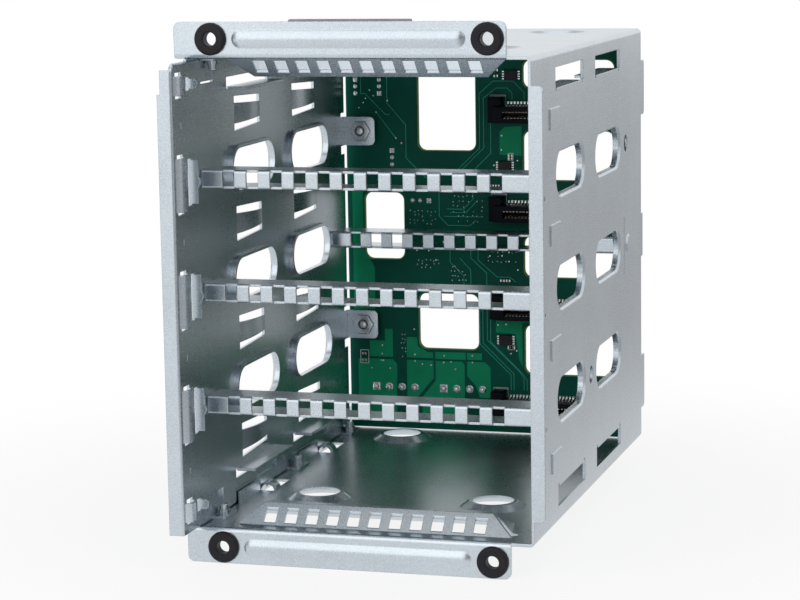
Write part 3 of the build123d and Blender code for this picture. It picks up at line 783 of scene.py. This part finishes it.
@dataclass
class Grommets(Section):
    """Turned rubber grommets in the front flanges."""

    names: tuple[str, ...] = ("top_left", "top_right", "bottom_left", "bottom_right")
    radius: float = 5.15 * MM
    neck: float = 3.65 * MM
    bore: float = 2.15 * MM
    lip: float = 1.5 * MM
    back_radius: float = 4.6 * MM
    sheet: float = 1.0 * MM
    lap: float = 0.02 * MM        # how far the lips stand off the sheet
    bore_round: float = 0.55 * MM
    rim_round: float = 0.9 * MM
    back_round: float = 0.8 * MM
    rings: int = 10               # of each rounding
    segments: int = 72
    smooth: float = 50.0

    def rounding(self, corner: Point, ways: Point, radius: float) -> list[Point]:
        """Quarter round in place of a corner: corner + way * radius * (1 - sin t, 1 - cos t).

        Args:
            corner: radius and depth of the sharp corner.
            ways: signs that lead from the corner into the rubber.
            radius: radius of the rounding.

        Returns:
            Its points, from the one farthest in by radius.
        """
        return [
            (corner[0] + ways[0] * radius * (1 - math.sin(angle)),
             corner[1] + ways[1] * radius * (1 - math.cos(angle)))
            for angle in np.linspace(0, math.pi / 2, self.rings)
        ]

    def profile(self) -> list[Point]:
        """Radius and depth round the section: two rolled lips either side of the sheet.

        Returns:
            The rings, from the bore's front round the outside and back.
        """
        end = self.sheet + self.lip
        front = self.rounding((self.bore, -self.lip), (1, 1), self.bore_round)[::-1]
        rim = self.rounding((self.radius, -self.lip), (-1, 1), self.rim_round)
        neck = [
            (self.radius, -self.lap), (self.neck, 0.0), (self.neck, self.sheet),
            (self.back_radius, self.sheet + self.lap),
        ]
        back = self.rounding((self.back_radius, end), (-1, -1), self.back_round)[::-1]
        return front + rim + neck + back + [(self.bore, end), front[0]]

    def build(self) -> None:
        """Turn each grommet where its node is."""
        for name in self.names:
            low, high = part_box(f"grommet_{name}")
            centre = ((low.x + high.x) / 2, Y_FACE, (low.z + high.z) / 2)
            mesh = turned(self.profile()[::-1], centre, self.segments)
            piece = self.add(f"rubber_{name}", mesh, "rubber", "black_rubber", self.smooth)
            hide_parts(f"grommet_{name}")


@dataclass
class DriveConnectors(Section):
    """Contacts and solder tails of the four drive connectors."""

    pitch: float = 1.27 * MM
    contacts: int = 28
    first: float = 6.2 * MM       # right of the housing's left end
    clear: float = 1.6 * MM       # left free at its right end
    wire: float = 0.26 * MM
    wide: float = 0.56 * MM
    body: float = 6.0 * MM        # height of the housing
    # before the board and over the housing, in millimetres
    tail: tuple[Point, ...] = (
        (2.2, -0.4), (2.2, 0.1), (1.95, 0.3), (0.45, 0.35), (0.2, 0.5), (0.14, 0.7), (0.14, 1.0),
    )
    pad: Triple = (0.7 * MM, 0.06 * MM, 1.1 * MM)
    pad_lift: float = 0.9 * MM    # of its middle over the housing
    slot_half: float = 1.3 * MM
    beam_start: float = 0.12 * MM
    beam_depth: float = 4.8 * MM
    wall_gap: float = 0.12 * MM
    bow: float = 0.55 * MM
    bow_points: int = 8

    def build(self) -> None:
        """Dress the housings and add the contacts of each."""
        for number, node in enumerate(CONNECTORS, 1):
            self.dress(node, "housing")
            low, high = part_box(node)
            top = low.z + self.body
            x = low.x + self.first + self.pitch * np.arange(self.contacts)
            row = np.zeros((np.sum(x < high.x - self.clear), 3))
            row[:, 0] = x[:len(row)]
            for name, mesh, finish in (
                ("tails", self.tails(row, top), "tin"),
                ("contacts", self.beams(row, (low.z + top) / 2, low.y), "gold"),
            ):
                self.add(f"connector_{name}_{number}", mesh, finish, "tinned_pins")

    def tails(self, row: np.ndarray, top: float) -> Mesh:
        """Gull-wing tails from the housing's top to the board, and their pads.

        Args:
            row: shift of each contact along X.
            top: height of the housing's top.

        Returns:
            The mesh.
        """
        path = np.array([(Y_BOARD - before * MM, top + over * MM) for before, over in self.tail])
        pads = boxes(row + (0.0, Y_BOARD - self.pad[1] / 2, top + self.pad_lift), self.pad)
        return joined([swept(path, self.wide, self.wire, row), pads])

    def beams(self, row: np.ndarray, level: float, y_front: float) -> Mesh:
        """Contact beams bowed from both walls of the slot towards its middle.

        A beam's distance from the middle is that of the wall less a gap and less the bow
        times sin(pi * depth / full depth).

        Args:
            row: shift of each contact along X.
            level: height of the slot's middle.
            y_front: front of the housing.

        Returns:
            The mesh.
        """
        depth = np.linspace(self.beam_start, self.beam_depth, self.bow_points)
        bow = self.bow * np.sin(math.pi * depth / self.beam_depth)
        away = self.slot_half - self.wall_gap - bow
        parts = []
        for sign, shift in ((1, 0.0), (-1, self.pitch / 2)):
            path = np.column_stack([y_front + depth, level + sign * away])
            parts.append(swept(path, self.wide, self.wire, row + (shift, 0.0, 0.0)))
        return joined(parts)


@dataclass
class BoardLayers(Section):
    """Copper, solder and print on both faces of the board.

    Lists of places and profiles are in millimetres, single sizes in metres.
    """

    copper: float = 0.05 * MM
    sunk: float = 0.01 * MM       # how far the copper areas reach into the laminate
    pours: tuple = (
        ((-52.2, 38.9), (-38.5, 38.9), (-36.8, 37.2), (-36.8, 18.0), (-52.2, 18.0)),
        ((-47.5, 46.0), (-41.4, 46.0), (-41.4, 50.6), (-38.3, 50.6), (-38.3, 39.8), (-47.5, 39.8)),
        ((-32.8, 47.7), (-28.7, 47.7), (-28.3, 44.2), (-24.6, 42.2), (-22.4, 42.0),
         (-22.4, 39.8), (-32.8, 39.8)),
        ((-32.8, 38.9), (-22.3, 38.9), (-22.3, 32.1), (-28.7, 24.6), (-28.7, 18.0), (-32.8, 18.0)),
        ((-21.6, 42.3), (-9.6, 42.3), (-9.6, 39.6), (-21.6, 39.6)),
        ((-21.5, 38.8), (-11.1, 38.8), (-10.1, 37.8), (-10.1, 18.0), (-26.8, 18.0),
         (-26.8, 24.6), (-21.5, 31.2)),
        ((-9.0, 42.3), (-3.2, 42.3), (-3.2, 39.7), (-9.0, 39.7)),
        ((-9.0, 38.9), (-2.1, 38.9), (0.1, 36.8), (0.1, 25.2), (-4.2, 25.2), (-5.7, 29.7),
         (-9.0, 33.4)),
        ((-53.4, 103.6), (-49.2, 103.6), (-49.2, 81.9), (-45.0, 74.3), (-45.0, 58.0),
         (-53.4, 58.0)),
        ((4.5, 126.3), (6.4, 128.2), (12.9, 128.6), (12.9, 117.5), (4.5, 117.9)),
        ((2.4, 55.8), (50.0, 55.8), (50.0, 54.6), (12.6, 54.6), (12.6, 37.6), (11.4, 40.3),
         (9.9, 50.1), (2.4, 50.5)),
    )
    pours_behind: int = 8         # the first ones are on the back too
    traces: tuple = (
        ((-49.4, 158.0), (-49.4, 140.4), (-47.7, 140.4), (-39.8, 132.6), (-38.1, 132.6)),
        ((-39.1, 158.0), (-39.1, 136.9), (-31.9, 128.6), (-31.9, 116.2), (-24.2, 108.7)),
        ((-43.4, 133.4), (-35.8, 123.6)),
        ((9.4, 138.3), (9.4, 140.9), (7.5, 142.7), (3.3, 142.7), (-1.6, 138.9), (-1.6, 120.3),
         (-10.2, 111.9)),
        ((14.0, 138.3), (14.0, 141.1), (9.8, 145.3), (2.2, 145.3), (-3.2, 140.6), (-3.2, 120.3),
         (-12.1, 111.7)),
        ((1.1, 131.5), (1.1, 118.4), (-7.1, 110.4)),
        ((-19.2, 108.8), (-19.2, 94.3), (-15.9, 90.9), (-7.3, 90.9), (-4.9, 93.1)),
        ((-16.2, 97.1), (-9.7, 97.1), (-6.0, 101.0), (-6.0, 105.9)),
        ((-15.0, 95.8), (-8.8, 95.8), (-4.1, 100.7)),
        ((-17.4, 94.3), (-2.2, 94.3)),
        ((-11.4, 78.5), (-7.2, 74.1), (-7.2, 68.7)),
        ((-7.1, 81.7), (-7.1, 78.6), (-1.0, 73.1), (-1.0, 58.5), (-1.0, 47.5), (11.5, 35.7),
         (13.1, 33.4), (13.1, 28.6)),
        ((-4.3, 81.7), (-4.3, 77.9), (3.0, 71.7), (8.0, 71.7), (10.3, 69.9)),
        ((-15.2, 81.5), (-15.2, 76.9), (-9.9, 71.7), (-9.9, 68.7)),
        ((-3.9, 66.5), (-3.9, 45.9), (8.1, 34.4), (8.1, 28.6)),
        ((0.3, 66.5), (0.3, 46.8), (12.7, 34.9), (14.3, 32.7), (14.3, 28.6)),
        ((-2.7, 66.5), (-2.7, 46.3), (9.2, 34.8), (9.2, 28.6)),
    )
    trace_width: float = 0.2 * MM
    trace_rise: float = 0.045 * MM
    header_pads: tuple = (
        (-51.5, 145.6), (-51.5, 143.1), (-51.5, 140.5), (-42.1, 145.6), (-42.1, 143.1),
        (-42.1, 140.5), (-37.4, 118.9), (-37.4, 116.3), (-37.4, 113.7), (-29.6, 100.1),
        (-26.7, 100.1), (-23.2, 100.1),
    )
    pad_segments: int = 20
    pad_dome: tuple = ((0.85, 0.02), (0.8, -0.06), (0.55, -0.2), (0.3, -0.38), (0.0, -0.42))
    square_pads: tuple[int, ...] = (0, 5, 6, 11)
    square_pad: Triple = (1.7 * MM, 0.12 * MM, 1.7 * MM)
    vias: tuple = (
        (-45.9, 141.7), (-44.4, 139.6), (-48.5, 137.0), (-50.2, 135.1), (-43.4, 133.4),
        (-38.9, 137.8), (-35.8, 123.6), (-33.6, 121.8), (-47.6, 138.6), (5.3, 125.0), (5.2, 119.6),
        (11.3, 115.7), (2.2, 113.8), (5.0, 79.8), (7.7, 81.1), (11.1, 74.5), (7.7, 77.6),
        (0.3, 79.6), (-28.2, 81.2), (-23.5, 81.1), (-20.8, 77.6), (-42.5, 44.2), (-42.6, 40.9),
        (-42.9, 38.4), (-42.1, 38.4), (-46.8, 35.3), (-39.5, 35.4), (-29.6, 41.0), (-29.6, 38.5),
        (-26.7, 37.4), (-23.3, 37.1), (-18.1, 40.9), (-18.2, 38.3), (-15.4, 38.6), (-13.6, 35.9),
        (-7.0, 41.3), (-7.0, 38.7), (3.2, 53.4), (6.3, 53.7), (10.4, 43.7), (8.1, 42.6),
        (-29.7, 50.8),
    )
    via_fields: tuple = (
        (-30.7, 96.0, -20.5, 91.3, 7, 4), (-13.4, 102.0, -2.6, 92.4, 7, 6),
        (-0.4, 81.1, 10.4, 77.5, 7, 3), (-27.8, 77.4, -20.0, 74.5, 6, 3),
        (-14.5, 75.4, -9.1, 70.2, 5, 4), (-34.7, 48.4, -33.6, 40.3, 2, 6),
    )
    seed: int = 7
    scatter: float = 0.35         # of the vias in a field
    dropped: float = 0.22         # share of them that is left out
    via_ring: tuple = ((0.08, 0.02), (0.08, -0.055), (0.14, -0.075), (0.19, -0.06), (0.21, 0.02))
    via_growth: float = 1.4       # of the single vias
    via_segments: int = 12
    pins: int = 4                 # of each power header
    pin_pitch: float = 5.08
    pin_rows: Point = (-37.4, -10.7)
    pin_cone: tuple = (
        (1.55, 0.02), (1.45, -0.08), (1.15, -0.18), (0.92, -0.40), (0.75, -0.78), (0.55, -0.98),
        (0.0, -1.0),
    )
    cone_segments: int = 28
    cone_smooth: float = 60.0
    pin_square: Triple = (3.0 * MM, 0.12 * MM, 3.0 * MM)
    outlines: tuple = (
        (2.1, 139.7, 6.9, 135.0), (2.1, 102.8, 6.9, 98.1), (2.1, 65.9, 6.9, 61.2),
        (2.1, 29.0, 6.9, 26.2), (3.2, 49.4, 9.2, 46.0), (7.0, 45.7, 9.7, 44.1),
        (-51.2, 42.2, -48.0, 37.1), (7.6, 118.4, 9.7, 115.7), (3.3, 115.3, 9.6, 111.9),
    )
    cut_outs: tuple = (
        (-27.0, 119.2, -4.7, 153.8), (-48.4, 77.7, -33.0, 103.0), (-27.6, 43.6, -4.3, 64.8),
        (13.6, 142.7, 48.0, 153.1), (13.6, 108.5, 48.0, 126.8), (13.6, 71.9, 48.0, 87.4),
        (13.6, 35.0, 48.0, 53.7),
    )
    corner: float = 3.0           # radius of their corners
    corner_points: int = 7
    border: float = 0.3
    border_rise: float = 0.02 * MM
    ink: float = 0.07 * MM
    ink_behind: float = 0.03 * MM
    bracket_line: float = 0.2 * MM
    bracket_gap: Point = (0.35 * MM, 0.45 * MM)
    bracket: Point = (5.6 * MM, 2.2 * MM)
    outline: float = 0.18 * MM
    header_gap: float = 0.5 * MM

    def build(self) -> None:
        """Dress the board and add its copper, solder and ink."""
        self.dress("backplane_board", "mask")
        behind = self.pours[:self.pours_behind]
        areas = [
            slab(in_metres(pour), face.layer(self.copper, -self.sunk))
            for face, pours in ((Face.FRONT, self.pours), (Face.BACK, behind)) for pour in pours
        ]
        self.add("copper_areas", joined(areas), "pour", "board_green")
        layer = Face.FRONT.layer(self.trace_rise)
        lines = [ribbon(in_metres(path), self.trace_width, layer) for path in self.traces]
        self.add("copper_traces", joined(lines), "trace", "board_green")
        self.solder()
        self.printed()
        self.bare_edges()

    def field_vias(self) -> list[Point]:
        """Vias of the fields: a grid each, scattered and thinned out at random.

        Returns:
            Their places.
        """
        rng = np.random.default_rng(self.seed)
        kept = []
        for x0, z0, x1, z1, across, down in self.via_fields:
            grid = np.stack(
                np.meshgrid(np.linspace(x0, x1, across), np.linspace(z0, z1, down)), -1
            ).reshape(-1, 2)
            grid = grid + rng.uniform(-self.scatter, self.scatter, grid.shape)
            kept.extend(map(tuple, grid[rng.uniform(size=len(grid)) > self.dropped]))
        return kept

    def solder(self) -> None:
        """Header pads, vias through the board, and the solder cones of the power pins."""
        pads = on_board(self.header_pads)
        domes = turned(in_metres(self.pad_dome), pads, self.pad_segments)
        squares = boxes(pads[list(self.square_pads)], self.square_pad)
        self.add("header_pads", joined([domes, squares]), "tin", "tinned_pins")
        dots = []
        for places, growth in ((self.vias, self.via_growth), (self.field_vias(), 1.0)):
            for face in Face:
                rings = in_metres(self.via_ring) * (growth, -face.value)
                centres = on_board(places, face=face)
                dots.append(turned(rings[::-face.value], centres, self.via_segments))
        self.add("vias", joined(dots), "tin", "tinned_pins")
        low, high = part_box("power_pins")
        steps = (np.arange(self.pins) - (self.pins - 1) / 2) * self.pin_pitch * MM
        rows = np.array([
            (middle * MM + step, Y_BOARD, (low.z + high.z) / 2)
            for middle in self.pin_rows for step in steps
        ])
        cones = turned(in_metres(self.pin_cone), rows, self.cone_segments)
        firsts = boxes(rows[::self.pins], self.pin_square)
        mesh = joined([cones, firsts])
        self.add("solder_cones", mesh, "tin", "tinned_pins", self.cone_smooth)

    def printed(self) -> None:
        """White brackets over the connectors, and outlines of the headers and small parts."""
        front, back = Face.FRONT.layer(self.ink), Face.BACK.layer(self.ink_behind)
        parts = []
        for node in CONNECTORS:
            low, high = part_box(node)
            left, top = low.x - self.bracket_gap[0], high.z + self.bracket_gap[1]
            right, foot = left + self.bracket[0], top - self.bracket[1]
            path = [(left, foot), (left, top), (right, top), (right, foot)]
            parts += drawn(path, self.bracket_line, front)
        gap = self.header_gap
        for node in POWER_HEADERS:
            low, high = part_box(node)
            loop = rectangle(low.x - gap, low.z - gap, high.x + gap, high.z + gap)
            parts += drawn(loop, self.outline, back)
        for corners in self.outlines:
            parts += drawn(in_metres(rectangle(*corners)), self.outline, front)
        self.add("printed_outlines", joined(parts), "ink", "board_green")

    def bare_edges(self) -> None:
        """Narrow unlacquered border round each air opening, on both faces.

        Its inner loop is a quarter circle about each corner's centre, radius (cos t, sin t),
        and its outer loop the same points moved outwards along X and Z by the border.
        """
        turn = np.linspace(0, math.pi / 2, self.corner_points)
        radius = self.corner
        parts = []
        for x0, z0, x1, z1 in self.cut_outs:
            left, right, foot, top = x0 + radius, x1 - radius, z0 + radius, z1 - radius
            centres = ((right, top), (left, top), (left, foot), (right, foot))
            loop = []
            for quarter, (x, z) in enumerate(centres):
                angle = turn + quarter * math.pi / 2
                loop.extend(zip(x + radius * np.cos(angle), z + radius * np.sin(angle)))
            inner = np.array(loop)
            middle = ((x0 + x1) / 2, (z0 + z1) / 2)
            outer = inner + self.border * np.sign(inner - middle)
            for face in Face:
                points = on_board(np.vstack([inner, outer]), self.border_rise, face)
                parts.append((points, tube(2, len(inner))[:, ::-face.value].tolist()))
        self.add("bare_borders", joined(parts), "bare", "board_green")


@dataclass
class SmallParts(Section):
    """Leads of the chips and small passive parts; places are in millimetres."""

    chips: tuple = ((6.5, 113.6), (6.2, 47.8), (9.1, 147.5))
    leads: int = 4                # on each side of a chip
    lead_pitch: float = 0.889
    lead_reach: float = 2.95      # from a chip's middle to the middle of a lead
    lead_rise: float = 0.15 * MM
    lead: Triple = (0.9 * MM, 0.22 * MM, 0.4 * MM)
    passives: tuple = (
        (8.7, 117.6), (8.7, 116.5), (7.8, 45.0), (9.0, 45.0), (-49.6, 40.9), (-49.6, 38.4),
        (-24.2, 111.2), (-22.8, 111.2), (4.0, 83.4), (6.2, 83.4), (-17.0, 84.6), (-14.5, 84.6),
        (3.4, 147.2), (3.4, 149.4), (5.2, 70.4), (7.4, 70.4), (-45.6, 50.4), (-45.6, 52.4),
        (1.4, 106.2), (3.6, 106.2),
    )
    body: Triple = (0.8 * MM, 0.5 * MM, 0.8 * MM)
    body_rise: float = 0.28 * MM
    end: Triple = (0.4 * MM, 0.54 * MM, 0.84 * MM)
    end_shift: float = 0.6 * MM

    def build(self) -> None:
        """Dress the nodes and add the leads and the passive parts."""
        self.dress("board_chips", "chip")
        self.dress("signal_headers", "housing")
        self.dress("power_pins", "tin")
        for node in POWER_HEADERS:
            self.dress(node, "nylon")
        rows = (np.arange(self.leads) - (self.leads - 1) / 2) * self.lead_pitch
        feet = [
            (x + way * self.lead_reach, z + row)
            for x, z in self.chips for way in (-1, 1) for row in rows
        ]
        bodies = on_board(self.passives, self.body_rise)
        shift = np.array([self.end_shift, 0.0, 0.0])
        for name, places, size, finish, slot in (
            ("chip_leads", on_board(feet, self.lead_rise), self.lead, "tin", "tinned_pins"),
            ("passive_bodies", bodies, self.body, "ceramic", "chip_black"),
            ("passive_ends", np.concatenate([bodies + shift, bodies - shift]), self.end, "tin",
             "tinned_pins"),
        ):
            self.add(name, boxes(places, size), finish, slot)


# The studio


@dataclass
class Lamp:
    """A soft square lamp aimed at a point."""

    name: str
    place: Triple
    aim: Triple
    size: float
    power: float

    def build(self) -> None:
        """Add the lamp."""
        data = bpy.data.lights.new(self.name, "AREA")
        data.shape = "SQUARE"
        data.size = self.size
        data.energy = self.power
        lamp = linked(self.name, data)
        lamp.location = self.place
        way = Vector(self.aim) - Vector(self.place)
        lamp.rotation_euler = way.to_track_quat("-Z", "Y").to_euler()


@dataclass
class Studio:
    """White floor and backdrop, soft lamps, and the camera of the photograph."""

    lamps: tuple[Lamp, ...] = (
        Lamp("key", (-0.45, -1.2, 0.75), (0.0, 0.0, 0.09), 1.5, 9.0),
        Lamp("fill", (0.95, -0.75, 1.0), (0.0, 0.0, 0.06), 1.0, 3.2),
        Lamp("overhead", (0.05, 0.15, 1.3), (0.0, 0.0, 0.1), 1.2, 2.8),
    )
    eye: Triple = (0.23778, -0.84672, 0.2096)
    right: Triple = (0.959836, 0.280111, -0.015917)
    ahead: Triple = (-0.27927, 0.948433, -0.149943)
    up: Triple = (-0.026904, 0.148366, 0.988567)
    focal_pixels: float = 2572.8
    image_width: float = 800.0
    image_height: float = 600.0
    centre: Point = (398.34, 297.82)
    sensor: float = 36.0
    clip: Point = (0.01, 50.0)
    floor_size: float = 8.0
    ambient: float = 0.35
    camera_side: float = 0.25                # what mirrors see of the room behind the camera
    camera_side_ends: Point = (-0.75, 0.1)   # Y of the direction
    zenith: float = 0.6                      # what they see of the room above
    zenith_starts: Point = (0.35, 0.95)      # Z of the direction
    mirrored_dim: float = 0.5                # what they see of the floor in these ranges
    dim_behind: Point = (0.0, 0.5)           # along Y
    dim_right: Point = (0.02, 0.14)          # along X
    dim_front: Point = (0.8, 3.0)            # against Y
    shadow: float = 0.16
    shadow_reach: Point = (0.08, 0.30)
    greys: tuple[Colour, Colour] = ((0.88, 0.88, 0.88), (0.9, 0.9, 0.9))
    grey_clouds: float = 40.0
    white: Colour = (1.0, 1.0, 1.0)

    def backdrop(self) -> Material:
        """White floor: camera and mirror rays see mostly plain white, the rest is shadow.

        Returns:
            The material.
        """
        graph = new_graph("studio_white")
        _, mirrored, seen = graph.unlit_rays()
        along = graph.axis("Y")
        dim = along.between(*self.dim_behind) | graph.axis("X").between(*self.dim_right)
        dim = dim | (0.0 - along).between(*self.dim_front)
        strength = 1.0 - (1.0 - self.mirrored_dim) * dim * mirrored
        tint = graph.blend(*self.greys, graph.noise(self.grey_clouds).between(0.2, 0.8))
        matt = graph.add("BsdfDiffuse", {"Color": tint})
        glow = graph.add("Emission", {"Color": self.white, "Strength": strength})
        away = graph.add("VectorMath", {0: graph.place}, "Value", operation="LENGTH")
        near = 1.0 - away.between(*self.shadow_reach)
        share = seen * (1.0 - self.shadow * near)
        mix = graph.add("MixShader", {0: share, 1: matt, 2: glow})
        graph.close("OutputMaterial", mix)
        return graph.owner

    def floor(self) -> None:
        """Large plane under the cage."""
        half = self.floor_size / 2
        corners = [(x, y, 0.0) for x, y in rectangle(-half, -half, half, half)[:4]]
        data = bpy.data.meshes.new("studio_floor")
        data.from_pydata(corners, [], [(0, 1, 2, 3)])
        data.materials.append(self.backdrop())
        floor = linked("studio_floor", data)

    def surroundings(self) -> None:
        """White to the camera, dimmer behind it for mirrors, a plain soft light for the rest."""
        world = bpy.data.worlds.new("surroundings")
        bpy.context.scene.world = world
        graph = Graph(world)
        camera, _, seen = graph.unlit_rays()
        way = Value(graph, graph.coordinates.outputs["Generated"])
        ahead = graph.axis("Y", way).between(*self.camera_side_ends)
        above = graph.axis("Z", way).between(*self.zenith_starts)
        room = self.camera_side + (1.0 - self.camera_side) * ahead
        room = room * (1.0 - (1.0 - self.zenith) * above) | camera
        strength = self.ambient + seen * (room - self.ambient)
        sky = graph.add("Background", {"Color": self.white, "Strength": strength})
        graph.close("OutputWorld", sky)

    def camera(self) -> None:
        """Camera solved from the straight edges of the photograph."""
        data = bpy.data.cameras.new("camera")
        data.sensor_width = self.sensor
        data.sensor_fit = "HORIZONTAL"
        data.lens = self.focal_pixels / self.image_width * self.sensor
        data.shift_x = (self.image_width / 2 - self.centre[0]) / self.image_width
        data.shift_y = (self.centre[1] - self.image_height / 2) / self.image_width
        data.clip_start, data.clip_end = self.clip
        camera = linked("camera", data)
        columns = (self.right, self.up, tuple(-part for part in self.ahead), self.eye)
        camera.matrix_world = Matrix([*zip(*columns), (0, 0, 0, 1)])
        bpy.context.scene.camera = camera

    def build(self) -> None:
        """Set up the floor, the lamps, the surroundings and the camera."""
        bpy.context.scene.view_settings.view_transform = "Standard"
        self.floor()
        self.surroundings()
        for lamp in self.lamps:
            lamp.build()
        self.camera()


def main() -> None:
    """Build the studio and dress the cage."""
    logging.basicConfig(level=logging.INFO, format="%(name)s %(message)s")
    Studio().build()
    finishes = {name: finish.material() for name, finish in FINISHES.items()}
    for section in (SheetMetal, Grommets, DriveConnectors, BoardLayers, SmallParts):
        section(finishes).build()
        log.info("%s done", section.__name__)


if __name__ == "__main__":
    main()
